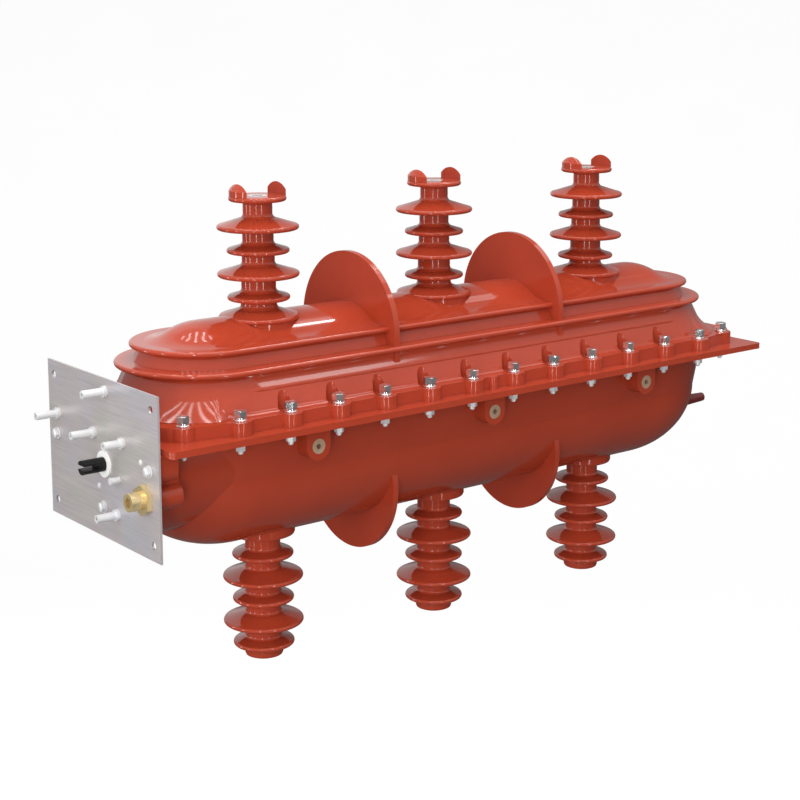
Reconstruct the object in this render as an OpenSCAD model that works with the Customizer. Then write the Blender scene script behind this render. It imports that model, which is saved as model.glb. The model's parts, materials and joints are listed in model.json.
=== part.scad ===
/* [Phases] */
// distance between neighbouring phases
phase_pitch = 210; // [180:1:240]
// radius of the large sheds
shed_r = 38.3; // [34:0.1:44]
// radius of the small sheds
small_shed_r = 29.3; // [25:0.1:34]
// height from one shed to the next
shed_step = 22; // [19:0.1:26]
// thickness of a shed at its round rim
shed_t = 4.8; // [3:0.1:6]
// slope of the sheds' upper faces
shed_slope = 0.32; // [0.2:0.01:0.36]
// radius of the hollow between a shed's underside and its neck
shed_hollow = 3; // [1.5:0.1:3.5]

/* [Upper bushing] */
// height of the uppermost shed above the flange face
upper_shed_z = 172; // [165:0.5:180]
// radius of the neck under the cap
upper_neck_top_r = 13.8; // [12:0.1:16]
// radius of the neck at its foot
upper_neck_foot_r = 17; // [15.5:0.1:20]
// radius of the hollow between a shed's upper face and its neck
upper_hollow = 5; // [3:0.1:5.5]
// radius of the collar that sits in the hump
upper_collar_r = 37.5; // [34:0.5:40]
// height of the collar's round lip
upper_collar_z = 88; // [85:0.5:88.5]
// depth of the collar's foot below its lip
upper_root = 14; // [12:0.5:18]
// radius of the round cap
cap_r = 27; // [24:0.5:32]
// thickness of the cap at its rim
cap_t = 5; // [3:0.5:8]
// height of the cap's floor
cap_floor_z = 201; // [196:0.5:206]
// height of the ears above the cap's floor
ear_h = 11.7; // [6:0.1:16]
// distance from the bushing's axis to an ear's flat wall
ear_wall_x = 21.5; // [19:0.5:23.5]

/* [Lower bushing] */
// depth of the foot's lower edge, just under the trough
lower_shed_z = 120; // [118:0.5:124]
// radius of the foot
lower_foot_r = 31; // [26:0.5:40]
// length of the foot that is sunk in the trough
lower_foot_l = 8; // [6:0.5:12]
// radius of the neck
lower_neck_r = 16.8; // [14:0.1:18]
// radius of the hollow between a shed's upper face and its neck
lower_hollow = 3; // [1.5:0.1:5]
// radius of the end stub
stub_r = 18.4; // [17:0.1:22]
// depth of the end face below the flange face
stub_z = 243; // [241:0.5:255]
// depth of the bushing's root inside the trough
lower_root_z = 100; // [96:0.5:104]

/* [Upper housing] */
// distance from the flange plate's end to the centre of the rounded ends
end_margin = 98.5; // [92:0.5:110]
// height of the hump's crest
hump_z = 91; // [86:0.5:98]
// radius of the hump's crown
hump_r = 60; // [52:0.5:70]
// radius of the hollow at the hump's foot
hump_foot_r = 40; // [25:0.5:50]
// height of the upper skirt's deck
deck1_z = 74.5; // [70:0.5:80]
// half width of the upper skirt
skirt1_b = 66; // [62:0.5:72]
// height of the lower skirt's deck
deck2_z = 57.5; // [54:0.5:62]
// half width of the lower skirt
skirt2_b = 80; // [74:0.5:84]
// thickness of the skirts at their rim
skirt_t = 5; // [3:0.1:7]
// half width of the waist under the upper skirt
waist1_b = 58; // [54:0.5:60]
// half width of the waist under the lower skirt
waist2_b = 70; // [66:0.5:72]
// half width of the wall at its foot
wall_foot_b = 86; // [82:0.5:88]
// radius of the fillet at the wall's foot
wall_fillet = 7; // [4:0.5:9]

/* [Flange] */
// length of the flange plate
flange_l = 743; // [720:1:780]
// width of the flange plate
flange_w = 222; // [212:1:240]
// thickness of the flange plate
flange_t = 6; // [4:0.5:10]
// height of the scalloped band above the flange plate
band_h = 12; // [8:0.5:18]
// half width of the band between its bosses
band_b = 95; // [92:0.5:98]
// distance from the flange plate's end to the band's end
band_margin = 7.5; // [5:0.5:16]
// length of the band's slanting corner
band_corner = 12; // [8:0.5:16]
// radius of the flange plate's corners
flange_corner_r = 4; // [2:0.5:8]
// radius of the boss around each bolt
boss_r = 11; // [9:0.5:13]
// distance from the middle line to the row of bolts
bolt_y = 92; // [90:0.5:95]
// distance from the flange plate's end to the first bolt of a row
row_margin = 80; // [76:0.5:100]
// number of bolts in a row
bolt_n = 12; // [10:1:12]
// distance from the flange plate's end to the corner bolts
corner_margin = 30.5; // [26:0.5:36]
// distance from the middle line to the corner bolts
corner_y = 79; // [74:0.5:84]
// radius of a bolt's clearance hole
bolt_hole_r = 3.3; // [2.5:0.1:4.5]
// radius of the spanner pocket behind a bolt head
pocket_r = 8; // [7:0.1:10]
// height of the spanner pocket
pocket_h = 24; // [12:0.5:28]
// distance of the pocket's axis behind the bolt
pocket_in = 6; // [0:0.5:8]
// radius of the flat seat under a bolt's washer
seat_r = 6.8; // [6:0.1:7.5]
// radius of the small rib at the middle of the band
rib_r = 5; // [3:0.5:7]
// position of the small rib along the band
rib_x = -3; // [-8:0.5:8]

/* [Lower housing] */
// thickness of the rim under the flange plate
rim_t = 3; // [2:0.5:6]
// half width of the rim
rim_b = 99; // [98:0.5:103]
// radius of the rim's corners
rim_corner_r = 42; // [30:1:48]
// half width of the trough under the rim
trough_b = 82; // [78:0.5:84]
// half width of the trough at its round bottom
trough_r = 75; // [70:0.5:77]
// depth of the trough's bottom below the flange face
trough_z = 119.5; // [116:0.5:122]
// distance from the flange plate's end to the centre of the trough's ends
trough_margin = 114.5; // [111:0.5:125]
// distance from the flange plate's end to the trough's end
trough_gap = 7.1; // [5:0.1:14]
// radius of the fixing lugs
lug_r = 13; // [10:0.5:15]
// distance from the middle line to a lug's face
lug_y = 95; // [92:0.5:97]
// depth of the lugs' axis below the flange face
lug_z = 18; // [17:0.5:24]
// radius of a lug's brass insert
insert_r = 7; // [5:0.1:8]
// length of a lug's brass insert
insert_l = 15; // [12:0.5:20]
// radius of the insert's thread core
insert_hole_r = 2.5; // [2:0.1:3.5]
// radius of the drum round the shaft at the trough's drive end
drum_r = 69.5; // [66:0.5:71]
// distance from the panel to the drum's face
drum_gap = 16; // [12:0.5:24]

/* [Barriers] */
// thickness of the phase barriers
barrier_t = 6; // [4:0.5:9]
// half width of the upper barriers
barrier_b = 75.5; // [72:0.5:77]
// height of the upper barriers' top
barrier_top = 139.5; // [130:0.5:150]
// half width of the lower barriers
barrier_low_b = 72.5; // [70:0.5:76]
// depth of the lower barriers' bottom
barrier_low = 155.5; // [150:0.5:164]

/* [Mechanism panel] */
// gap between the flange plate's end and the panel
panel_gap = 4.5; // [3:0.5:12]
// thickness of the panel
panel_t = 2; // [1.5:0.1:3]
// width of the panel
panel_w = 200; // [190:1:220]
// height of the panel's upper edge
panel_top = 53; // [45:0.5:60]
// depth of the panel's lower edge
panel_low = 93; // [90:0.5:110]
// radius of the panel's corner holes
panel_hole_r = 3.5; // [2.5:0.1:5]
// distance from the panel's sides to its corner holes
panel_hole_side = 11.5; // [8:0.5:16]
// distance from the panel's upper edge to its corner holes
panel_hole_top = 13; // [8:0.5:18]
// distance from the panel's lower edge to its corner holes
panel_hole_foot = 14; // [8:0.5:18]
// radius of a stand-off
standoff_r = 3.6; // [3:0.1:4.5]
// length of a stand-off
standoff_l = 23; // [16:0.5:32]
// radius of a stand-off's collar
standoff_collar_r = 5.2; // [4.8:0.1:7]
// thickness of a stand-off's collar
standoff_collar_t = 3; // [2:0.5:5]
// radius of a stand-off's thread core
standoff_hole_r = 1.65; // [1.2:0.05:2.1]

/* [Shaft] */
// radius of the operating shaft
shaft_r = 6.5; // [5.5:0.1:8]
// gap around the shaft in its bearing
shaft_gap = 0.05; // [0.02:0.01:0.1]
// distance from the middle line to the shaft's axis
shaft_y = -4.4; // [-8:0.1:0]
// depth of the shaft's axis below the flange face
shaft_z = 25; // [22:0.5:28]
// length of the shaft that stands out of the panel
shaft_out = 23; // [18:0.5:30]
// length of the shaft inside the housing
shaft_in = 36; // [30:0.5:50]
// width of the coupling slot in the shaft's end
slot_w = 4; // [3:0.1:6]
// depth of the coupling slot
slot_l = 14; // [8:0.5:16]
// radius of the shaft's bearing ring
ring_r = 12; // [10.5:0.1:14]
// distance the bearing ring stands out of the panel
ring_out = 1.5; // [1:0.5:6]
// radius of the shaft's boss on the housing
shaft_boss_r = 15; // [14.5:0.5:18]

/* [Gas valve] */
// distance from the panel's side to the valve's axis
valve_margin = 24; // [18:0.5:28]
// depth of the valve's axis below the flange face
valve_z = 41; // [38:0.5:46]
// radius of the valve's body
valve_r = 8; // [6:0.1:8.5]
// length of the valve that stands out of the panel
valve_out = 17; // [10:0.5:24]
// radius of the valve's mouth
valve_hole_r = 4.5; // [3:0.1:5]
// width of the valve's nut across its flats
valve_nut_w = 24; // [20:0.5:27]
// thickness of the valve's nut
valve_nut_t = 5; // [4:0.5:9]
// radius of the round bosses behind the panel
end_boss_r = 11.5; // [10:0.1:12.5]
// length of the valve's boss
valve_boss_l = 29; // [20:1:36]
// thickness of the web between the valve's boss and the flange plate
valve_web_t = 8; // [5:0.5:12]
// distance from the panel's side to the fixing bosses
fix_margin = 16; // [12:0.5:18]
// depth of the fixing bosses' axis below the flange face
fix_z = 14; // [13:0.5:16]
// length of the fixing bosses
fix_l = 20; // [16:1:30]

/* [Terminals] */
// radius of an upper terminal
top_terminal_r = 9; // [7.5:0.1:12]
// radius of a lower terminal
low_terminal_r = 11; // [9:0.1:14]
// length of a terminal insert
terminal_l = 22; // [18:0.5:30]
// radius of a terminal's thread core
terminal_hole_r = 5.1; // [4:0.1:6]
// depth of a terminal's threaded hole
terminal_hole_l = 18; // [12:0.5:20]

/* [Port cap] */
// distance from the middle line to the port cap
port_y = -30; // [-40:1:-10]
// depth of the port cap's axis below the flange face
port_z = 69; // [62:0.5:76]
// radius of the port cap at its foot
port_r = 8; // [6:0.1:10]
// distance from the flange plate's end to the port cap's tip
port_margin = 3.5; // [0:0.5:10]

/* [Hidden] */
$fn = 96;
sides = [-1, 1];
flange_x = flange_l / 2;
end_centre = flange_x - end_margin;
band_l = flange_x - band_margin;
corner_x = flange_x - corner_margin;
trough_centre = flange_x - trough_margin;
trough_stretch = (trough_margin - trough_gap) / trough_b;
port_x = flange_x - port_margin;
panel_x = flange_x + panel_gap;
drum_x = panel_x - drum_gap;
panel_y = panel_w / 2;
valve_y = panel_y - valve_margin;
fix_y = panel_y - fix_margin;
bolt_pitch = 2 * (flange_x - row_margin) / (bolt_n - 1);
band_z = flange_t + band_h;
hump_c = hump_z - hump_r;
foot_c = deck1_z + hump_foot_r;
foot_x = sqrt(pow(hump_r + hump_foot_r, 2) - pow(foot_c - hump_c, 2));
meet_k = hump_r / (hump_r + hump_foot_r);
meet_z = hump_c + (foot_c - hump_c) * meet_k;
wall_rise = deck2_z - skirt_t - band_z;
wall_run = wall_foot_b - waist2_b;
wall_nx = wall_rise / norm([wall_rise, wall_run]);
wall_nz = wall_run / norm([wall_rise, wall_run]);
fillet_x = wall_foot_b + wall_fillet * (1 - wall_nz) / wall_nx;
trough_c = trough_r - trough_z;
bolt_x0 = -(bolt_n - 1) / 2 * bolt_pitch;
ear_drop = cap_r * 0.35;
ear_r = norm([ear_wall_x, ear_h + ear_drop]);
shed_lean = norm([1, shed_slope]);

// height of a shed's sloping upper face at radius r
function shed_face(shed, r) = shed[1] + shed_t / 2 + (shed[0] - shed_t / 2 - r) * shed_slope;

// height of the centre of the hollow above a shed
function hollow_z(shed, neck, f) = shed_face(shed, neck + f) + f * shed_lean;

// a shed's corner points, from the neck above it to its rim
function shed_upper(shed, neck, f) = [
  [neck, hollow_z(shed, neck, f)],
  [neck + f - f * shed_slope / shed_lean, hollow_z(shed, neck, f) - f / shed_lean],
  [shed[0] - shed_t / 2, shed[1] + shed_t / 2],
  [shed[0] - shed_t / 2, shed[1] - shed_t / 2]
];

// a shed's corner points, from its underside to the neck below it
function shed_lower(shed, neck) = [
  [neck + shed_hollow, shed[1] - shed_t / 2],
  [neck, shed[1] - shed_t / 2 - shed_hollow]
];

// the round hollow above a shed
module upper_hollow_section(shed, neck, f) {
  translate([neck + f, hollow_z(shed, neck, f)]) circle(r = f + 0.1);
}

// the round hollow below a disc whose underside is at height z
module lower_hollow_section(z, neck) {
  translate([neck + shed_hollow, z - shed_hollow]) circle(r = shed_hollow + 0.1);
}

// a disc's round rim, of radius r and thickness t at height z
module round_rim_section(r, z, t) {
  intersection() {
    translate([r - t / 2, z]) circle(d = t);
    translate([r - t / 2, z - t / 2]) square([t, t]);
  }
}

// an upper bushing's necks and sheds, counted from the cap down; the last shed is the collar's lip
function upper_neck_r(k) = upper_neck_top_r + (upper_neck_foot_r - upper_neck_top_r) * k / 4;
function upper_shed(k) = k == 4
  ? [upper_collar_r, upper_collar_z]
  : [k % 2 == 0 ? shed_r : small_shed_r, upper_shed_z - k * shed_step];

// an upper bushing without its cap's ears
module upper_bushing_section() {
  difference() {
    polygon(concat(
      [
        [0, cap_floor_z], [cap_r - cap_t / 2, cap_floor_z], [cap_r - cap_t / 2, cap_floor_z - cap_t],
        [upper_neck_r(0) + shed_hollow, cap_floor_z - cap_t],
        [upper_neck_r(0), cap_floor_z - cap_t - shed_hollow]
      ],
      [for (k = [0:3]) each concat(
        shed_upper(upper_shed(k), upper_neck_r(k), upper_hollow),
        shed_lower(upper_shed(k), upper_neck_r(k + 1))
      )],
      shed_upper(upper_shed(4), upper_neck_r(4), upper_hollow),
      [[upper_collar_r - shed_t / 2, upper_collar_z - upper_root], [0, upper_collar_z - upper_root]]
    ));
    lower_hollow_section(cap_floor_z - cap_t, upper_neck_r(0));
    for (k = [0:3]) {
      upper_hollow_section(upper_shed(k), upper_neck_r(k), upper_hollow);
      lower_hollow_section(upper_shed(k)[1] - shed_t / 2, upper_neck_r(k + 1));
    }
    upper_hollow_section(upper_shed(4), upper_neck_r(4), upper_hollow);
  }
}

module upper_bushing_body() {
  union() {
    rotate_extrude() upper_bushing_section();
    rotate_extrude() round_rim_section(cap_r, cap_floor_z - cap_t / 2, cap_t);
    for (k = [0:4]) rotate_extrude() round_rim_section(upper_shed(k)[0], upper_shed(k)[1], shed_t);
  }
}

// the two upright ears of a cap
module ears() {
  for (s = sides)
    intersection() {
      translate([0, 0, cap_floor_z - 0.5]) cylinder(r = cap_r - 0.6, h = ear_h + 1);
      translate([s > 0 ? ear_wall_x : -cap_r, -cap_r, cap_floor_z - 0.5])
        cube([cap_r - ear_wall_x, 2 * cap_r, ear_h + 1]);
      translate([0, 0, cap_floor_z - ear_drop]) sphere(r = ear_r);
    }
}

module upper_bushing(i) {
  color([0.66, 0.22, 0.15])
    translate([i * phase_pitch, 0, 0])
      difference() {
        union() {
          upper_bushing_body();
          ears();
        }
        translate([0, 0, cap_floor_z - terminal_l]) cylinder(r = top_terminal_r, h = terminal_l + 1);
      }
}

// a lower bushing's necks and sheds, counted from the foot down; the last neck is the end stub
function lower_neck(k) = k == 6 ? stub_r : lower_neck_r;
function lower_shed(k) = [
  k == 0 ? lower_foot_r : k % 2 == 0 ? shed_r : small_shed_r,
  -lower_shed_z - k * shed_step
];

// a lower bushing: root, foot, sheds and an end stub
module lower_bushing_section() {
  edge = shed_t / 2;
  difference() {
    polygon(concat(
      [
        [0, -lower_root_z], [lower_neck_r, -lower_root_z],
        [lower_neck_r, -lower_shed_z + lower_foot_l], [lower_foot_r, -lower_shed_z + lower_foot_l],
        [lower_foot_r, -lower_shed_z], [lower_foot_r - edge * 0.3, -lower_shed_z - edge * 0.7],
        [lower_foot_r - edge, -lower_shed_z - edge]
      ],
      shed_lower(lower_shed(0), lower_neck(1)),
      [for (k = [1:5]) each concat(
        shed_upper(lower_shed(k), lower_neck(k), lower_hollow),
        shed_lower(lower_shed(k), lower_neck(k + 1))
      )],
      [
        [stub_r, -stub_z + edge], [stub_r - edge * 0.3, -stub_z + edge * 0.3],
        [stub_r - edge, -stub_z], [0, -stub_z]
      ]
    ));
    for (k = [1:5]) upper_hollow_section(lower_shed(k), lower_neck(k), lower_hollow);
    for (k = [0:5]) lower_hollow_section(lower_shed(k)[1] - shed_t / 2, lower_neck(k + 1));
  }
}

module lower_bushing_body() {
  union() {
    rotate_extrude() lower_bushing_section();
    for (k = [1:5]) rotate_extrude() round_rim_section(lower_shed(k)[0], lower_shed(k)[1], shed_t);
  }
}

// the seat of a lower bushing's root and foot in the trough
module lower_seat() {
  translate([0, 0, -lower_shed_z]) cylinder(r = lower_neck_r, h = lower_shed_z - lower_root_z);
  translate([0, 0, -lower_shed_z - shed_t]) cylinder(r = lower_foot_r, h = lower_foot_l + shed_t);
}

module lower_bushing(i) {
  color([0.64, 0.21, 0.15])
    translate([i * phase_pitch, 0, 0])
      difference() {
        lower_bushing_body();
        translate([0, 0, -stub_z - 1]) cylinder(r = low_terminal_r, h = terminal_l + 1);
      }
}

// the upper housing's half section: hump, two skirts with round rims, sloping wall
module upper_section() {
  difference() {
    union() {
      intersection() {
        translate([0, hump_c]) circle(r = hump_r);
        translate([0, deck1_z]) square([hump_r, hump_r]);
      }
      polygon([[0, deck1_z], [foot_x, deck1_z], [foot_x * meet_k + 0.05, meet_z + 0.05], [0, meet_z + 0.05]]);
    }
    translate([foot_x, foot_c]) circle(r = hump_foot_r + 0.1);
  }
  rim_section(skirt1_b, deck1_z);
  polygon([[0, deck2_z], [waist1_b + 5, deck2_z], [waist1_b, deck1_z - skirt_t], [0, deck1_z - skirt_t]]);
  rim_section(skirt2_b, deck2_z);
  difference() {
    polygon([
      [0, band_z], [fillet_x, band_z],
      [fillet_x - wall_fillet * wall_nx, band_z + wall_fillet * (1 - wall_nz)],
      [waist2_b, deck2_z - skirt_t], [0, deck2_z - skirt_t]
    ]);
    translate([fillet_x, band_z + wall_fillet]) circle(r = wall_fillet + 0.1);
  }
}

// a skirt's half section: flat, with a round rim
module rim_section(b, z) {
  translate([0, z - skirt_t]) square([b - skirt_t / 2, skirt_t]);
  intersection() {
    translate([b - skirt_t / 2, z - skirt_t / 2]) circle(d = skirt_t);
    translate([b - skirt_t / 2, z - skirt_t]) square([skirt_t, skirt_t]);
  }
}

// a half section swept along the middle and turned round both ends
module swept(c) {
  rotate([90, 0, 90]) translate([0, 0, -c]) linear_extrude(height = 2 * c) {
    children();
    mirror([1, 0]) children();
  }
  for (s = sides) translate([s * c, 0, 0]) rotate_extrude() children();
}

module upper_mass() {
  swept(end_centre) upper_section();
}

module bolt_places() {
  for (t = sides) {
    for (k = [0:bolt_n - 1]) translate([bolt_x0 + k * bolt_pitch, t * bolt_y]) children();
    for (s = sides) translate([s * corner_x, t * corner_y]) children();
  }
}

// the band's outline: straight sides, drawn-in ends, a boss round each bolt and a small rib
module band_outline() {
  x1 = -bolt_x0 + boss_r;
  x2 = corner_x + boss_r * 0.5;
  y2 = corner_y + boss_r * 0.6;
  y3 = corner_y - band_corner;
  polygon([
    [-x1, -band_b], [x1, -band_b], [x2, -y2], [band_l, -y3], [band_l, y3], [x2, y2],
    [x1, band_b], [-x1, band_b], [-x2, y2], [-band_l, y3], [-band_l, -y3], [-x2, -y2]
  ]);
  bolt_places() circle(r = boss_r);
  for (t = sides) translate([rib_x, t * band_b]) circle(r = rib_r);
}

module upper_housing() {
  color([0.68, 0.23, 0.16])
    difference() {
      union() {
        upper_mass();
        translate([0, 0, flange_t]) linear_extrude(height = band_h) band_outline();
        for (s = sides)
          translate([s * phase_pitch / 2 - barrier_t / 2, -barrier_b, band_z])
            cube([barrier_t, 2 * barrier_b, deck2_z - skirt_t - band_z + 1]);
      }
      translate([0, 0, band_z]) linear_extrude(height = pocket_h)
        for (t = sides, k = [1:bolt_n - 2])
          translate([bolt_x0 + k * bolt_pitch, t * (bolt_y - pocket_in)]) circle(r = pocket_r);
      translate([0, 0, band_z]) linear_extrude(height = pocket_h / 2) bolt_places() circle(r = seat_r);
      translate([0, 0, flange_t - 1]) linear_extrude(height = band_h + 2) bolt_places() circle(r = bolt_hole_r);
      for (i = [-1:1]) translate([i * phase_pitch, 0, 0]) upper_bushing_body();
    }
}

module rounded_plate(l, w, r) {
  square([l - 2 * r, w], center = true);
  square([l, w - 2 * r], center = true);
  for (s = sides, t = sides) translate([s * (l / 2 - r), t * (w / 2 - r)]) circle(r = r);
}

// the trough's half section: drawn-in sides on a round bottom
module trough_section() {
  polygon([[0, 0], [trough_b, 0], [trough_r, trough_c], [0, trough_c]]);
  intersection() {
    translate([0, trough_c]) circle(r = trough_r);
    translate([0, -trough_z - 1]) square([trough_r + 1, trough_z + trough_c + 1]);
  }
}

module trough_middle() {
  rotate([90, 0, 90]) translate([0, 0, -trough_centre]) linear_extrude(height = 2 * trough_centre) {
    trough_section();
    mirror([1, 0]) trough_section();
  }
}

module trough_end() {
  translate([trough_centre, 0, 0]) scale([trough_stretch, 1, 1]) rotate([0, 0, -90])
    rotate_extrude(angle = 180) trough_section();
}

module trough() {
  trough_middle();
  for (a = [0, 180]) rotate([0, 0, a]) trough_end();
}

// a round bar along the housing's length, from x0 to x1
module bar_x(x0, x1, y, z, r) {
  translate([x0, y, z]) rotate([0, 90, 0]) cylinder(r = r, h = x1 - x0);
}

// a round bar across the housing, from y0 to y1
module bar_y(x, y0, y1, z, r) {
  translate([x, y1, z]) rotate([90, 0, 0]) cylinder(r = r, h = y1 - y0);
}

module lower_housing() {
  color([0.64, 0.2, 0.15])
    difference() {
      union() {
        linear_extrude(height = flange_t) rounded_plate(flange_l, flange_w, flange_corner_r);
        translate([0, 0, -rim_t]) linear_extrude(height = rim_t)
          rounded_plate(2 * band_l, 2 * rim_b, rim_corner_r);
        difference() {
          trough_middle();
          for (i = [-1:1]) translate([i * phase_pitch, 0, 0]) lower_seat();
        }
        for (a = [0, 180])
          rotate([0, 0, a]) difference() {
            trough_end();
            translate([phase_pitch, 0, 0]) lower_seat();
          }
        for (i = [-1:1]) {
          bar_y(i * phase_pitch, -lug_y, lug_y, -lug_z, lug_r);
          translate([i * phase_pitch - lug_r + 0.05, -lug_y, -lug_z]) cube([2 * lug_r - 0.1, 2 * lug_y, lug_z + 1]);
        }
        for (t = sides) {
          bar_x(-panel_x, -panel_x + fix_l, t * fix_y, -fix_z, end_boss_r);
          translate([-panel_x, t * fix_y - end_boss_r, -fix_z]) cube([fix_l, 2 * end_boss_r, fix_z + 1]);
        }
        intersection() {
          bar_x(-drum_x, -trough_centre, shaft_y, -shaft_z, drum_r);
          translate([-drum_x - 1, -flange_w / 2, -trough_z])
            cube([drum_x - trough_centre + 2, flange_w, trough_z + 1]);
        }
        bar_x(-panel_x, -panel_x + valve_boss_l, -valve_y, -valve_z, end_boss_r);
        translate([-panel_x, -valve_y - valve_web_t / 2, -valve_z]) cube([valve_boss_l, valve_web_t, valve_z + 1]);
        bar_x(-panel_x, -drum_x + 2, shaft_y, -shaft_z, shaft_boss_r);
      }
      translate([0, 0, -rim_t - 1]) linear_extrude(height = flange_t + rim_t + 2)
        bolt_places() circle(r = bolt_hole_r);
      for (i = [-1:1]) {
        bar_y(i * phase_pitch, -lug_y - 1, -lug_y + insert_l, -lug_z, insert_r);
        bar_y(i * phase_pitch, lug_y - insert_l, lug_y + 1, -lug_z, insert_r);
      }
      bar_x(-panel_x - 1, -panel_x + shaft_in + 1, shaft_y, -shaft_z, shaft_r + shaft_gap);
      bar_x(-panel_x - 1, -panel_x + 8, shaft_y, -shaft_z, ring_r);
      bar_x(-panel_x - 1, -panel_x + 14, -valve_y, -valve_z, valve_r);
      port_body();
    }
}

// an upper barrier: a flat web with a round top that stands on the housing
module upper_barrier(s) {
  color([0.65, 0.22, 0.15])
    difference() {
      translate([s * phase_pitch / 2 - barrier_t / 2, 0, 0]) rotate([90, 0, 90])
        linear_extrude(height = barrier_t) {
          intersection() {
            translate([0, barrier_top - barrier_b]) circle(r = barrier_b);
            translate([-barrier_b, barrier_top - barrier_b]) square([2 * barrier_b, barrier_b]);
          }
          translate([-barrier_b, deck2_z]) square([2 * barrier_b, barrier_top - barrier_b - deck2_z]);
        }
      upper_mass();
    }
}

// a lower barrier: a flat round web that stands out of the trough
module lower_barrier(s) {
  color([0.62, 0.2, 0.15])
    difference() {
      translate([s * phase_pitch / 2, 0, 0])
        bar_x(-barrier_t / 2, barrier_t / 2, 0, barrier_low_b - barrier_low, barrier_low_b);
      trough();
    }
}

module upper_terminal(i) {
  color([0.8, 0.78, 0.74])
    translate([i * phase_pitch, 0, cap_floor_z - terminal_l])
      difference() {
        cylinder(r = top_terminal_r, h = terminal_l);
        translate([0, 0, terminal_l - terminal_hole_l]) cylinder(r = terminal_hole_r, h = terminal_hole_l + 1);
      }
}

module lower_terminal(i) {
  color([0.8, 0.78, 0.74])
    translate([i * phase_pitch, 0, -stub_z])
      difference() {
        cylinder(r = low_terminal_r, h = terminal_l);
        translate([0, 0, -1]) cylinder(r = terminal_hole_r, h = terminal_hole_l + 1);
      }
}

module lug_insert(i, t) {
  color([0.7, 0.55, 0.32])
    difference() {
      bar_y(i * phase_pitch, t > 0 ? lug_y - insert_l : -lug_y,
        t > 0 ? lug_y : -lug_y + insert_l, -lug_z, insert_r);
      bar_y(i * phase_pitch, t > 0 ? lug_y - insert_l + 3 : -lug_y - 1,
        t > 0 ? lug_y + 1 : -lug_y + insert_l - 3, -lug_z, insert_hole_r);
    }
}

module mechanism_panel() {
  color([0.72, 0.73, 0.74])
    difference() {
      translate([-panel_x - panel_t, -panel_w / 2, -panel_low]) cube([panel_t, panel_w, panel_top + panel_low]);
      for (s = sides, z = [panel_top - panel_hole_top, -panel_low + panel_hole_foot])
        bar_x(-panel_x - panel_t - 1, -panel_x + 1, s * (panel_y - panel_hole_side), z, panel_hole_r);
      bar_x(-panel_x - panel_t - 1, -panel_x + 1, shaft_y, -shaft_z, ring_r);
      bar_x(-panel_x - panel_t - 1, -panel_x + 1, -valve_y, -valve_z, valve_r);
    }
}

module standoff(y, z, l) {
  x0 = -panel_x - panel_t;
  color([0.8, 0.8, 0.81])
    difference() {
      union() {
        bar_x(x0 - l, x0, y, z, standoff_r);
        bar_x(x0 - standoff_collar_t, x0, y, z, standoff_collar_r);
      }
      bar_x(x0 - l - 1, x0 - l + 10, y, z, standoff_hole_r);
    }
}

module standoff_top() standoff(shaft_y - 5.2, panel_top - 11.3, standoff_l);
module standoff_back() standoff(panel_y - 18.1, 29.7 - shaft_z, standoff_l);
module standoff_middle() standoff(shaft_y + 18, 25.3 - shaft_z, standoff_l);
module standoff_front() standoff(shaft_y - 33.7, 25.8 - shaft_z, standoff_l - 4);
module standoff_low() standoff(shaft_y - 21.7, 26.5 - panel_low, standoff_l - 2);

module shaft_bearing() {
  color([0.92, 0.92, 0.9])
    difference() {
      bar_x(-panel_x - panel_t - ring_out, -panel_x + 8, shaft_y, -shaft_z, ring_r);
      bar_x(-panel_x - panel_t - ring_out - 1, -panel_x + 9, shaft_y, -shaft_z, shaft_r + shaft_gap);
    }
}

module operating_shaft() {
  x0 = -panel_x - panel_t - shaft_out;
  color([0.1, 0.1, 0.11])
    difference() {
      bar_x(x0, -panel_x + shaft_in, shaft_y, -shaft_z, shaft_r);
      translate([x0 - 1, shaft_y - shaft_r - 1, -shaft_z - slot_w / 2])
        cube([slot_l + 1, 2 * shaft_r + 2, slot_w]);
    }
}

module gas_valve() {
  x0 = -panel_x - panel_t - valve_out;
  color([0.75, 0.6, 0.3])
    difference() {
      bar_x(x0, -panel_x + 14, -valve_y, -valve_z, valve_r);
      bar_x(x0 - 1, x0 + 12, -valve_y, -valve_z, valve_hole_r);
    }
}

module gas_valve_nut() {
  x0 = -panel_x - panel_t - valve_nut_t;
  color([0.72, 0.58, 0.3])
    difference() {
      translate([x0, -valve_y, -valve_z]) rotate([0, 90, 0])
        cylinder(r = valve_nut_w / sqrt(3), h = valve_nut_t, $fn = 6);
      bar_x(x0 - 1, -panel_x - panel_t + 1, -valve_y, -valve_z, valve_r);
    }
}

module stop_stud() {
  color([0.78, 0.78, 0.79]) 
    bar_x(-panel_x - panel_t - 9, -panel_x - panel_t, shaft_y - 25.5, -shaft_z - 8.9, 3);
}

module port_body() {
  translate([trough_centre + trough_r * 0.6, port_y, -port_z]) rotate([0, 90, 0])
    cylinder(r1 = port_r, r2 = port_r * 0.6, h = port_x - trough_centre - trough_r * 0.6);
}

module port_cap() {
  color([0.42, 0.1, 0.08]) port_body();
}

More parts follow.
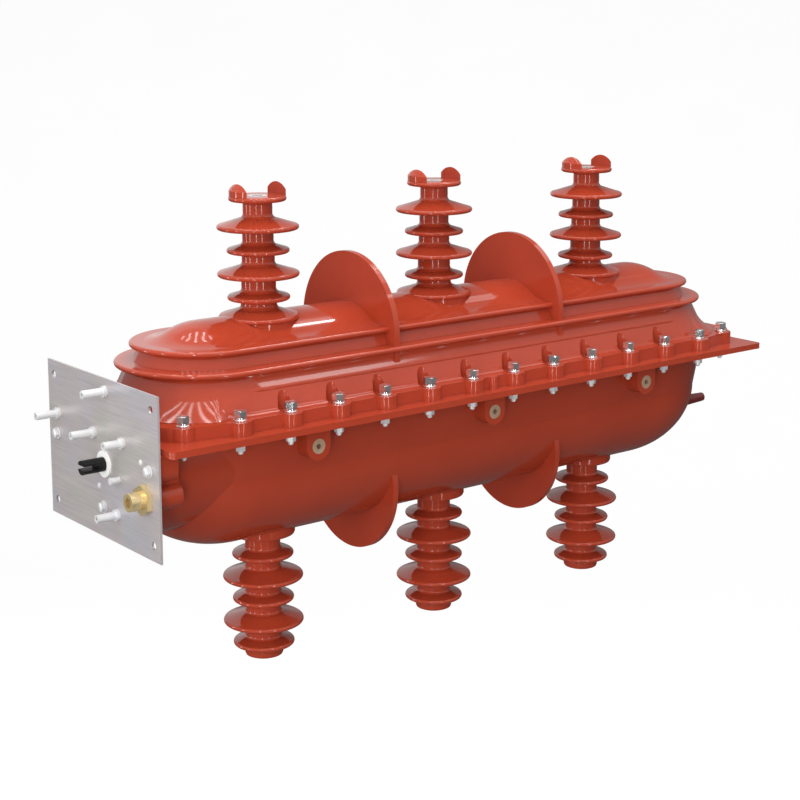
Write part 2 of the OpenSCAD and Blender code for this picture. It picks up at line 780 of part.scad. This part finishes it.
upper_housing();
lower_housing();
upper_bushing(-1);  // upper_bushing_left
upper_bushing(0);  // upper_bushing_middle
upper_bushing(1);  // upper_bushing_right
lower_bushing(-1);  // lower_bushing_left
lower_bushing(0);  // lower_bushing_middle
lower_bushing(1);  // lower_bushing_right
upper_terminal(-1);  // upper_terminal_left
upper_terminal(0);  // upper_terminal_middle
upper_terminal(1);  // upper_terminal_right
lower_terminal(-1);  // lower_terminal_left
lower_terminal(0);  // lower_terminal_middle
lower_terminal(1);  // lower_terminal_right
upper_barrier(-1);  // upper_barrier_left
upper_barrier(1);  // upper_barrier_right
lower_barrier(-1);  // lower_barrier_left
lower_barrier(1);  // lower_barrier_right
lug_insert(-1, -1);  // lug_insert_front_left
lug_insert(0, -1);  // lug_insert_front_middle
lug_insert(1, -1);  // lug_insert_front_right
lug_insert(-1, 1);  // lug_insert_back_left
lug_insert(0, 1);  // lug_insert_back_middle
lug_insert(1, 1);  // lug_insert_back_right
mechanism_panel();
standoff_top();
standoff_back();
standoff_middle();
standoff_front();
standoff_low();
shaft_bearing();
operating_shaft();
gas_valve();
gas_valve_nut();
stop_stud();
port_cap();
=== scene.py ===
import json
import math

import bmesh
import bpy
from mathutils import Matrix, Vector


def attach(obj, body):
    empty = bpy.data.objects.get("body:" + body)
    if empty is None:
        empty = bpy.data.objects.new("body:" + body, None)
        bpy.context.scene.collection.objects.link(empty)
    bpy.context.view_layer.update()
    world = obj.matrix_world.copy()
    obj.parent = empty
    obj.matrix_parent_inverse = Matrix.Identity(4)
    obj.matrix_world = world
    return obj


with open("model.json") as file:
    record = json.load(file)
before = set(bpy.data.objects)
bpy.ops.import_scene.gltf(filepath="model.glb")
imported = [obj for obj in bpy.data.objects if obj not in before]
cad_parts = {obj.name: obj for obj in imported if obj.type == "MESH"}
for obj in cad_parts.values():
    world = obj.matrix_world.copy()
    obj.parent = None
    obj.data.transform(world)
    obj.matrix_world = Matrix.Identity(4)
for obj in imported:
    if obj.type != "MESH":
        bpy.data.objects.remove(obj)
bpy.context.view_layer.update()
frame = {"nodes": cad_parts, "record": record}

nodes = frame["nodes"]
scene = bpy.context.scene
scene.view_settings.view_transform = "Standard"

MM = 0.001


# Node helpers


def add_node(tree, kind, **values):
    """A new node with values on its inputs; an underscore in a name stands for a space."""
    node = tree.nodes.new(kind)
    for name, value in values.items():
        node.inputs[name.replace("_", " ")].default_value = value
    return node


def fill_ramp(ramp, stops):
    """Gives a colour ramp its stops, each a position and a colour."""
    elements = ramp.color_ramp.elements
    while len(elements) < len(stops):
        elements.new(0.5)
    for element, (position, colour) in zip(elements, stops):
        element.position = position
        element.color = (*colour, 1)


def grey(level):
    return (level, level, level)


class Look:
    """A material with a Principled shader and short names for the nodes that feed it."""

    def __init__(self, name):
        self.material = bpy.data.materials.new(name)
        self.material.use_nodes = True
        self.tree = self.material.node_tree
        self.shader = self.tree.nodes["Principled BSDF"]
        self.coord = self.tree.nodes.new("ShaderNodeTexCoord").outputs["Object"]

    def put(self, name, value):
        self.shader.inputs[name].default_value = value

    def link(self, source, target):
        self.tree.links.new(source, target)

    def scaled(self, scale):
        node = add_node(self.tree, "ShaderNodeMapping", Scale=scale)
        self.link(self.coord, node.inputs["Vector"])
        return node.outputs["Vector"]

    def noise(self, scale, detail=3.0, rough=0.5, vector=None):
        node = add_node(self.tree, "ShaderNodeTexNoise", Scale=scale, Detail=detail, Roughness=rough)
        self.link(vector or self.coord, node.inputs["Vector"])
        return node.outputs["Fac"]

    def ramp(self, factor, stops):
        node = self.tree.nodes.new("ShaderNodeValToRGB")
        fill_ramp(node, stops)
        self.link(factor, node.inputs["Fac"])
        return node.outputs["Color"]

    def span(self, value, low, high):
        node = add_node(self.tree, "ShaderNodeMapRange", To_Min=low, To_Max=high)
        self.link(value, node.inputs["Value"])
        return node.outputs["Result"]

    def multiply(self, first, second):
        node = self.tree.nodes.new("ShaderNodeVectorMath")
        node.operation = "MULTIPLY"
        self.link(first, node.inputs[0])
        self.link(second, node.inputs[1])
        return node.outputs["Vector"]

    def bump(self, height, strength, distance):
        node = add_node(self.tree, "ShaderNodeBump", Strength=strength, Distance=distance)
        self.link(height, node.inputs["Height"])
        self.link(node.outputs["Normal"], self.shader.inputs["Normal"])

    def colour(self, socket):
        self.link(socket, self.shader.inputs["Base Color"])

    def rough(self, socket):
        self.link(socket, self.shader.inputs["Roughness"])


# Materials


def epoxy(name, dark, light):
    """Glossy cast resin: a faint cloud in the colour, uneven gloss and a very slight ripple."""
    look = Look(name)
    look.colour(look.ramp(look.noise(9, 4, 0.6), [(0.3, dark), (0.7, light)]))
    look.rough(look.span(look.noise(35), 0.05, 0.13))
    look.bump(look.noise(60, 2), 0.03, 0.0006)
    look.put("IOR", 1.5)
    return look.material


def metal(name, dark, light, smoothest, roughest, metallic=1.0, grain=120):
    """Plated or plain metal: a slight mottle, uneven gloss and a fine grain."""
    look = Look(name)
    look.colour(look.ramp(look.noise(grain), [(0.25, dark), (0.75, light)]))
    look.rough(look.span(look.noise(grain * 2), smoothest, roughest))
    look.bump(look.noise(grain * 4, 2), 0.02, 0.0003)
    look.put("Metallic", metallic)
    return look.material


def plastic(name, dark, light, smoothest, roughest):
    """Moulded plastic with a slight mottle."""
    look = Look(name)
    look.colour(look.ramp(look.noise(60), [(0.3, dark), (0.7, light)]))
    look.rough(look.span(look.noise(150, 2), smoothest, roughest))
    look.put("IOR", 1.5)
    return look.material


def zinc_sheet():
    """Zinc-coated sheet: fine streaks along the rolling direction and a faint play of colour."""
    look = Look("zinc_sheet")
    streak = look.noise(1, 4, 0.65, look.scaled((900, 20, 900)))
    tint = look.ramp(look.noise(14, 3, 0.55), [
        (0.28, (0.53, 0.53, 0.485)),
        (0.42, (0.56, 0.52, 0.50)),
        (0.52, (0.56, 0.51, 0.525)),
        (0.62, (0.53, 0.52, 0.555)),
        (0.75, (0.52, 0.54, 0.50)),
    ])
    shade = look.ramp(streak, [(0.32, grey(0.80)), (0.68, grey(1.0))])
    look.colour(look.multiply(tint, shade))
    look.rough(look.span(streak, 0.30, 0.42))
    look.bump(streak, 0.03, 0.0002)
    look.put("Metallic", 0.4)
    return look.material


RED = epoxy("cast_epoxy", (0.365, 0.043, 0.018), (0.41, 0.050, 0.022))
ZINC = zinc_sheet()
PIN = metal("white_zinc", (0.73, 0.73, 0.74), (0.80, 0.80, 0.81), 0.28, 0.40, metallic=0.3)
CHROME = metal("bright_zinc", (0.88, 0.88, 0.89), (0.95, 0.95, 0.95), 0.07, 0.15, metallic=0.95)
TIN = metal("plated_copper", (0.82, 0.81, 0.79), (0.90, 0.89, 0.87), 0.25, 0.38, metallic=0.7)
DULL_BRASS = metal("dull_brass", (0.60, 0.40, 0.26), (0.72, 0.50, 0.34), 0.32, 0.46, metallic=0.6)
BRASS = metal("yellow_brass", (0.84, 0.65, 0.32), (0.92, 0.75, 0.42), 0.18, 0.30, metallic=0.75)
WHITE = plastic("white_nylon", (0.84, 0.84, 0.82), (0.91, 0.91, 0.89), 0.35, 0.5)
BLACK = metal("black_oxide", (0.022, 0.022, 0.023), (0.04, 0.04, 0.04), 0.3, 0.45)
MAROON = plastic("dark_red_plastic", (0.13, 0.010, 0.009), (0.17, 0.014, 0.012), 0.25, 0.4)

SLOT_LOOK = {
    "cast_epoxy": RED,
    "galvanised": ZINC,
    "bright_zinc": PIN,
    "plated_copper": TIN,
    "dull_brass": DULL_BRASS,
    "yellow_brass": BRASS,
    "white_nylon": WHITE,
    "black_oxide": BLACK,
    "dark_red_plastic": MAROON,
}
for part in frame["record"]["subparts"]:
    node_mesh = nodes[part["node"]].data
    node_mesh.materials.clear()
    node_mesh.materials.append(SLOT_LOOK[part["material_slot"]])


# Mesh helpers, in millimetres about a place

SHARP_ANGLE = math.radians(35)
# how far a washer or rivet keeps off the face it lies on
SEAT_GAP = 0.02
# how much of a hexagon's width its turned corners lose, and how far they fall for that
HEX_CUT = 0.09
HEX_FALL = 0.55


def at(x, y, z, axis="Z"):
    """The place at a point in millimetres whose own Z runs along the axis."""
    turn = {
        "Z": Matrix.Identity(4),
        "-Z": Matrix.Rotation(math.pi, 4, "X"),
        "-X": Matrix.Rotation(-math.pi / 2, 4, "Y"),
    }[axis]
    return Matrix.Translation(Vector((x, y, z)) * MM) @ turn @ Matrix.Scale(MM, 4)


def skin(mesh, rings):
    """Joins each ring of points to the next and closes both ends."""
    count = len(rings[0])
    for low, high in zip(rings, rings[1:]):
        for k in range(count):
            after = (k + 1) % count
            mesh.faces.new((low[k], low[after], high[after], high[k]))
    mesh.faces.new(list(reversed(rings[0])))
    mesh.faces.new(rings[-1])


def lathe(mesh, place, profile, sides=24, turn=0.0):
    """A turned shape about the place's Z: profile is (radius, z) from low to high."""
    angles = [turn + 2 * math.pi * k / sides for k in range(sides)]
    rings = []
    for radius, z in profile:
        points = [Vector((radius * math.cos(a), radius * math.sin(a), z)) for a in angles]
        rings.append([mesh.verts.new(place @ point) for point in points])
    skin(mesh, rings)


def disc(mesh, place, radius, low, high, edge):
    """A washer from low to high with eased edges."""
    lathe(mesh, place, [
        (radius - edge, max(low, SEAT_GAP)),
        (radius, low + edge),
        (radius, high - edge),
        (radius - edge, high),
    ])


def hexagon(mesh, place, flats, low, high, turn):
    """A hexagon head or nut with its corners turned off at both ends."""
    corner = flats / math.sqrt(3)
    cut = HEX_CUT * flats
    fall = cut * HEX_FALL
    profile = [(corner - cut, low), (corner, low + fall), (corner, high - fall), (corner - cut, high)]
    lathe(mesh, place, profile, 6, turn)


def piece(name, mesh, material):
    """Makes an object of the mesh, fixed to the housing."""
    data = bpy.data.meshes.new(name)
    mesh.normal_update()
    mesh.to_mesh(data)
    mesh.free()
    thing = bpy.data.objects.new(name, data)
    scene.collection.objects.link(thing)
    data.materials.append(material)
    for polygon in data.polygons:
        polygon.use_smooth = True
    data.set_sharp_from_angle(angle=SHARP_ANGLE)
    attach(thing, "housing")


# Flange bolts and their nuts, each kind one joined mesh

BAND_Z = 18.0
RIM_Z = -3.0
BOLT_PITCH = 53.0
BOLTS_A_SIDE = 12
BOLT_ROW_Y = 92.0
CORNER_BOLT_X = 341.0
CORNER_BOLT_Y = 79.0
# each head stands turned by this much more than the last, within a sixth of a turn
HEAD_TURN = 2.399
HEAD_TURN_WRAP = 1.047

WASHER_R = 6.3
WASHER_TOP = 1.5
SPRING_R = 5.2
SPRING_TOP = 3.2
HEAD_FLATS = 10.6
HEAD_TOP = 9.6
NUT_WASHER_R = 5.4
NUT_WASHER_TOP = 1.2
NUT_FLATS = 8.0
NUT_TOP = 6.2
STUD_R = 2.5
STUD_TIP_R = 1.7
STUD_TIP = 1.0
STUD_TOP = 9.2
WASHER_EDGE = 0.2
SPRING_EDGE = 0.1

bolt_places = []
for way in (-1, 1):
    for k in range(BOLTS_A_SIDE):
        bolt_places.append((BOLT_PITCH * (k - (BOLTS_A_SIDE - 1) / 2), way * BOLT_ROW_Y))
for end in (-1, 1):
    for way in (-1, 1):
        bolt_places.append((end * CORNER_BOLT_X, way * CORNER_BOLT_Y))

heads = bmesh.new()
nuts = bmesh.new()
for k, (x, y) in enumerate(bolt_places):
    turn = (k * HEAD_TURN) % HEAD_TURN_WRAP
    above = at(x, y, BAND_Z)
    disc(heads, above, WASHER_R, 0, WASHER_TOP, WASHER_EDGE)
    disc(heads, above, SPRING_R, WASHER_TOP, SPRING_TOP, SPRING_EDGE)
    hexagon(heads, above, HEAD_FLATS, SPRING_TOP, HEAD_TOP, turn)
    below = at(x, y, RIM_Z, "-Z")
    disc(nuts, below, NUT_WASHER_R, 0, NUT_WASHER_TOP, WASHER_EDGE)
    hexagon(nuts, below, NUT_FLATS, NUT_WASHER_TOP, NUT_TOP, -turn)
    lathe(nuts, below, [(STUD_R, NUT_TOP), (STUD_R, STUD_TOP - STUD_TIP), (STUD_TIP_R, STUD_TOP)])
piece("flange_bolts", heads, CHROME)
piece("flange_nuts", nuts, PIN)


# Screws that hold the panel to the housing's bosses, and two rivets

PANEL_X = -378.0
SCREW_YZ = ((-84.0, -14.6), (84.0, -14.6), (-1.8, -64.8))
RIVET_YZ = ((-69.3, -9.9), (6.4, -47.2))
SCREW_WASHER_R = 5.6
SCREW_WASHER_TOP = 1.2
SCREW_FLATS = 8.0
SCREW_TOP = 4.6
SCREW_TURN = 0.4
RIVET = [(2.6, SEAT_GAP), (2.5, 0.6), (1.6, 1.2)]
RIVET_SIDES = 16

screws = bmesh.new()
for y, z in SCREW_YZ:
    place = at(PANEL_X, y, z, "-X")
    disc(screws, place, SCREW_WASHER_R, 0, SCREW_WASHER_TOP, WASHER_EDGE)
    hexagon(screws, place, SCREW_FLATS, SCREW_WASHER_TOP, SCREW_TOP, SCREW_TURN)
for y, z in RIVET_YZ:
    lathe(screws, at(PANEL_X, y, z, "-X"), RIVET, RIVET_SIDES)
piece("panel_screws", screws, PIN)


# The upper housing's sloped wall, which the two mouldings follow

STRAIGHT = 273.0
WALL_FOOT = 86.0
WALL_RUN = 16.0
WALL_RISE = 34.5


def wall_reach(z):
    """How far the wall stands from the middle line at a height."""
    return WALL_FOOT - WALL_RUN * (z - BAND_Z) / WALL_RISE


def ease(share):
    """A smooth start and stop, for a share that is held to 1."""
    share = min(1.0, share)
    return share * share * (3 - 2 * share)


# The shoulder and hollow along the wall's two straight sides, under the lower skirt

# the outline, as how far it stands proud of the wall and at what height
SHOULDER = [
    (-0.6, 36.6), (0.0, 36.6), (0.6, 37.2), (1.0, 37.9), (1.15, 38.7), (1.05, 39.6), (0.8, 41.0), (0.5, 42.4),
    (0.2, 43.8), (0.1, 44.6), (0.3, 46.0), (1.3, 48.0), (2.9, 50.0), (4.4, 51.6), (5.6, 52.45), (-1.0, 52.45),
]
SHOULDER_STEPS = 156
SHOULDER_TAPER = 14.0
# how deep the tapered ends lie in the wall
SHOULDER_SUNK = 0.3

shoulder = bmesh.new()
for way in (-1, 1):
    rings = []
    for k in range(SHOULDER_STEPS + 1):
        x = -STRAIGHT + 2 * STRAIGHT * k / SHOULDER_STEPS
        share = ease((STRAIGHT - abs(x)) / SHOULDER_TAPER)
        points = []
        for proud, z in SHOULDER:
            y = wall_reach(z) + (proud + SHOULDER_SUNK) * share - SHOULDER_SUNK
            points.append(Vector((way * x, way * y, z)) * MM)
        rings.append([shoulder.verts.new(point) for point in points])
    skin(shoulder, rings)
piece("wall_shoulder", shoulder, RED)


# The wall's foot flares out at the four rounded corners, on an arc that leaves the wall at its top

FLARE_TOP = 37.0
FLARE_LOW = 18.1
FLARE_INNER = 73.0
FLARE_START = 77.18
FLARE_R = 38.2
# the arc's angles from upright, in degrees
FLARE_FROM = 25
FLARE_STEP = 4
FLARE_POINTS = 11
FLARE_SUNK = 0.4
# the stretch of each corner that it covers, in degrees from the side, and how soon it rises there
CORNER_FROM = 15
CORNER_SPAN = 49
CORNER_STEPS = 40
CORNER_EASE = 9

flare_first = math.radians(FLARE_FROM)
flare_line = []
for k in range(FLARE_POINTS):
    lean = math.radians(FLARE_FROM + FLARE_STEP * k)
    reach = FLARE_START + FLARE_R * (math.cos(flare_first) - math.cos(lean))
    flare_line.append((reach, FLARE_TOP - FLARE_R * (math.sin(lean) - math.sin(flare_first))))
flare_line.append((flare_line[-1][0], FLARE_LOW))

flare = bmesh.new()
for end in (-1, 1):
    for way in (-1, 1):
        rings = []
        for k in range(CORNER_STEPS + 1):
            along = CORNER_SPAN * k / CORNER_STEPS
            share = ease((CORNER_SPAN / 2 - abs(along - CORNER_SPAN / 2)) / CORNER_EASE)
            outline = [(FLARE_INNER, FLARE_LOW), (FLARE_INNER, FLARE_TOP)]
            for reach, z in flare_line:
                proud = (reach - wall_reach(z)) * share - FLARE_SUNK * (1 - share)
                outline.append((wall_reach(z) + proud, z))
            angle = math.radians(CORNER_FROM + along)
            points = []
            for reach, z in outline:
                x = STRAIGHT + reach * math.sin(angle)
                points.append(Vector((end * x, way * reach * math.cos(angle), z)) * MM)
            rings.append([flare.verts.new(point) for point in points])
        # the order that turns the faces outward
        if end * way > 0:
            rings.reverse()
        skin(flare, rings)
piece("wall_flare", flare, RED)


# Floor and backdrop: one sweep of paper behind and below

VIEW_AZ = math.radians(-37.871)
FORWARD = Vector((-math.sin(VIEW_AZ), math.cos(VIEW_AZ), 0))
SIDE = Vector((FORWARD.y, -FORWARD.x, 0))
FLOOR_Z = -0.95
FRONT = -3.6
BACK = 3.6
BEND = 1.4
BEND_STEPS = 12
TOP = 4.5
HALF = 3.6
PAPER_GLOW = 0.9


def maths(tree, kind, first, second):
    """One step of arithmetic on two sockets, or on a socket and a number."""
    node = tree.nodes.new("ShaderNodeMath")
    node.operation = kind
    for socket, value in zip(node.inputs, (first, second)):
        if isinstance(value, float):
            socket.default_value = value
        else:
            tree.links.new(value, socket)
    return node.outputs[0]


def paper():
    """Grey paper that glows white to the camera; in reflections it fades near the floor and far along X."""
    material = bpy.data.materials.new("paper")
    material.use_nodes = True
    tree = material.node_tree
    tree.nodes.clear()
    link = tree.links.new

    grain = add_node(tree, "ShaderNodeTexNoise", Scale=40)
    tone = tree.nodes.new("ShaderNodeValToRGB")
    fill_ramp(tone, [(0.0, grey(0.11)), (1.0, grey(0.13))])
    diffuse = tree.nodes.new("ShaderNodeBsdfDiffuse")
    link(grain.outputs["Fac"], tone.inputs["Fac"])
    link(tone.outputs["Color"], diffuse.inputs["Color"])

    spot = tree.nodes.new("ShaderNodeNewGeometry")
    split = tree.nodes.new("ShaderNodeSeparateXYZ")
    link(spot.outputs["Position"], split.inputs[0])
    high = add_node(tree, "ShaderNodeMapRange", From_Min=-0.7, From_Max=0.2)
    link(split.outputs["Z"], high.inputs["Value"])
    far = add_node(tree, "ShaderNodeMapRange", From_Min=1.4, From_Max=2.6, To_Min=1.0, To_Max=0.3)
    link(split.outputs["X"], far.inputs["Value"])
    fade = maths(tree, "MULTIPLY", high.outputs["Result"], far.outputs["Result"])

    ray = tree.nodes.new("ShaderNodeLightPath").outputs
    mirrored = maths(tree, "MAXIMUM", ray["Is Glossy Ray"], ray["Is Transmission Ray"])
    mirrored = maths(tree, "MULTIPLY", mirrored, fade)
    seen = maths(tree, "MAXIMUM", ray["Is Camera Ray"], mirrored)
    glow = tree.nodes.new("ShaderNodeEmission")
    link(maths(tree, "MULTIPLY", seen, PAPER_GLOW), glow.inputs["Strength"])

    both = tree.nodes.new("ShaderNodeAddShader")
    link(diffuse.outputs[0], both.inputs[0])
    link(glow.outputs[0], both.inputs[1])
    out = tree.nodes.new("ShaderNodeOutputMaterial")
    link(both.outputs[0], out.inputs["Surface"])
    return material


sweep_line = [(FRONT, FLOOR_Z), (BACK - BEND, FLOOR_Z)]
for k in range(1, BEND_STEPS + 1):
    angle = math.pi / 2 * k / BEND_STEPS
    sweep_line.append((BACK - BEND + BEND * math.sin(angle), FLOOR_Z + BEND - BEND * math.cos(angle)))
sweep_line.append((BACK, TOP))
sweep_points = []
for depth, z in sweep_line:
    for across in (-HALF, HALF):
        sweep_points.append(FORWARD * depth + SIDE * across + Vector((0, 0, z)))
sweep_faces = [(2 * k, 2 * k + 1, 2 * k + 3, 2 * k + 2) for k in range(len(sweep_line) - 1)]
sweep_mesh = bpy.data.meshes.new("sweep")
sweep_mesh.from_pydata(sweep_points, [], sweep_faces)
sweep_mesh.materials.append(paper())
for polygon in sweep_mesh.polygons:
    polygon.use_smooth = True
sweep = bpy.data.objects.new("sweep", sweep_mesh)
scene.collection.objects.link(sweep)


# The world: grey by height, white to the camera

# from straight down at 0 to straight up at 1
SKY_LEVELS = ((0.0, 0.05), (0.40, 0.12), (0.5, 0.34), (0.585, 0.55), (0.74, 0.8), (1.0, 0.45))


def named(sockets, identifier):
    """The socket with this identifier, on a node where several share a name."""
    return next(socket for socket in sockets if socket.identifier == identifier)


def studio():
    world = bpy.data.worlds.new("studio")
    world.use_nodes = True
    tree = world.node_tree
    link = tree.links.new
    background = tree.nodes["Background"]
    background.inputs["Strength"].default_value = 1.0

    coord = tree.nodes.new("ShaderNodeTexCoord")
    split = tree.nodes.new("ShaderNodeSeparateXYZ")
    link(coord.outputs["Generated"], split.inputs[0])
    height = add_node(tree, "ShaderNodeMapRange", From_Min=-1, From_Max=1)
    link(split.outputs["Z"], height.inputs["Value"])
    sky = tree.nodes.new("ShaderNodeValToRGB")
    fill_ramp(sky, [(position, grey(level)) for position, level in SKY_LEVELS])
    link(height.outputs["Result"], sky.inputs["Fac"])

    ray = tree.nodes.new("ShaderNodeLightPath")
    mix = tree.nodes.new("ShaderNodeMix")
    mix.data_type = "RGBA"
    named(mix.inputs, "B_Color").default_value = (1, 1, 1, 1)
    link(ray.outputs["Is Camera Ray"], named(mix.inputs, "Factor_Float"))
    link(sky.outputs["Color"], named(mix.inputs, "A_Color"))
    link(named(mix.outputs, "Result_Color"), background.inputs["Color"])
    return world


scene.world = studio()


# Lamps, in metres and watts

TUBES = 8
TUBE_FIRST = -1.06
TUBE_GAP = 0.28
TUBE_DEPTH = -0.55
TUBE_Z = 1.95
STRIP_ANGLES = (145, -183, -138, -98)
STRIP_AWAY = 2.3
STRIP_Z = -0.1
TUBE_WIDE = 0.075
TUBE_LONG = 2.7
TUBE_WATTS = 5.3


def lamp(name, place, target, wide, high, watts):
    """An area lamp, out of the camera's sight, that faces the target."""
    data = bpy.data.lights.new(name, "AREA")
    data.shape = "RECTANGLE"
    data.size = wide
    data.size_y = high
    data.energy = watts
    thing = bpy.data.objects.new(name, data)
    scene.collection.objects.link(thing)
    thing.location = place
    thing.visible_camera = False
    thing.rotation_mode = "QUATERNION"
    thing.rotation_quaternion = (Vector(target) - Vector(place)).to_track_quat("-Z", "X")
    return thing


lamp("front_strip", (1.36, -1.54, 1.88), (1.36, -1.54, 0), 0.62, 0.34, 3.6)
lamp("crown_strip", (1.03, 0.32, 1.95), (1.03, 0.32, 0), 0.4, 0.2, 5.5)
lamp("pale_box", (1.4, 0.05, 2.0), (1.4, 0.05, 0), 1.1, 1.3, 6)

# long tubes overhead, running the way the camera looks
for k in range(TUBES):
    place = FORWARD * TUBE_DEPTH + SIDE * (TUBE_FIRST + TUBE_GAP * k) + Vector((0, 0, TUBE_Z))
    tube = lamp("tube_%d" % k, place, place - Vector((0, 0, 1)), TUBE_WIDE, TUBE_LONG, TUBE_WATTS)
    tube.rotation_quaternion = Matrix.Rotation(VIEW_AZ, 4, "Z").to_quaternion()

# upright strips round the back, left and front
for k, degrees in enumerate(STRIP_ANGLES):
    angle = math.radians(degrees)
    place = Vector((math.cos(angle), math.sin(angle), 0)) * STRIP_AWAY + Vector((0, 0, STRIP_Z))
    lamp("upright_%d" % k, place, (0, 0, STRIP_Z), 1.4, 0.11, 6)

# soft light from the left and from the front, left out of reflections
fill_box = lamp("fill_box", (-1.92, -1.4, 0.3), (0, 0, 0), 2.0, 1.6, 26)
fill_box.visible_glossy = False
key_box = lamp("key_box", (-0.9, -1.25, 1.75), (0, 0, 0), 1.0, 1.4, 3)
key_box.visible_glossy = False


# Camera

CAMERA_AT = (-1.079458, -1.33249, 0.385773)
ELEVATION = math.radians(9.465)
ROLL = math.radians(-0.118)
SENSOR = 36
PICTURE_PX = 800
FOCAL_PX = 1726.398
SHIFT_Y = -0.15

level = math.cos(ELEVATION)
look = Vector((FORWARD.x * level, FORWARD.y * level, -math.sin(ELEVATION)))
flat_right = look.cross(Vector((0, 0, 1))).normalized()
flat_up = flat_right.cross(look)
right = flat_right * math.cos(ROLL) + flat_up * math.sin(ROLL)
up = flat_up * math.cos(ROLL) - flat_right * math.sin(ROLL)
camera_data = bpy.data.cameras.new("camera")
camera_data.sensor_width = SENSOR
camera_data.lens = SENSOR * FOCAL_PX / PICTURE_PX
camera_data.shift_y = SHIFT_Y
camera = bpy.data.objects.new("camera", camera_data)
scene.collection.objects.link(camera)
camera.matrix_world = Matrix.Translation(CAMERA_AT) @ Matrix((right, up, -look)).transposed().to_4x4()
scene.camera = camera
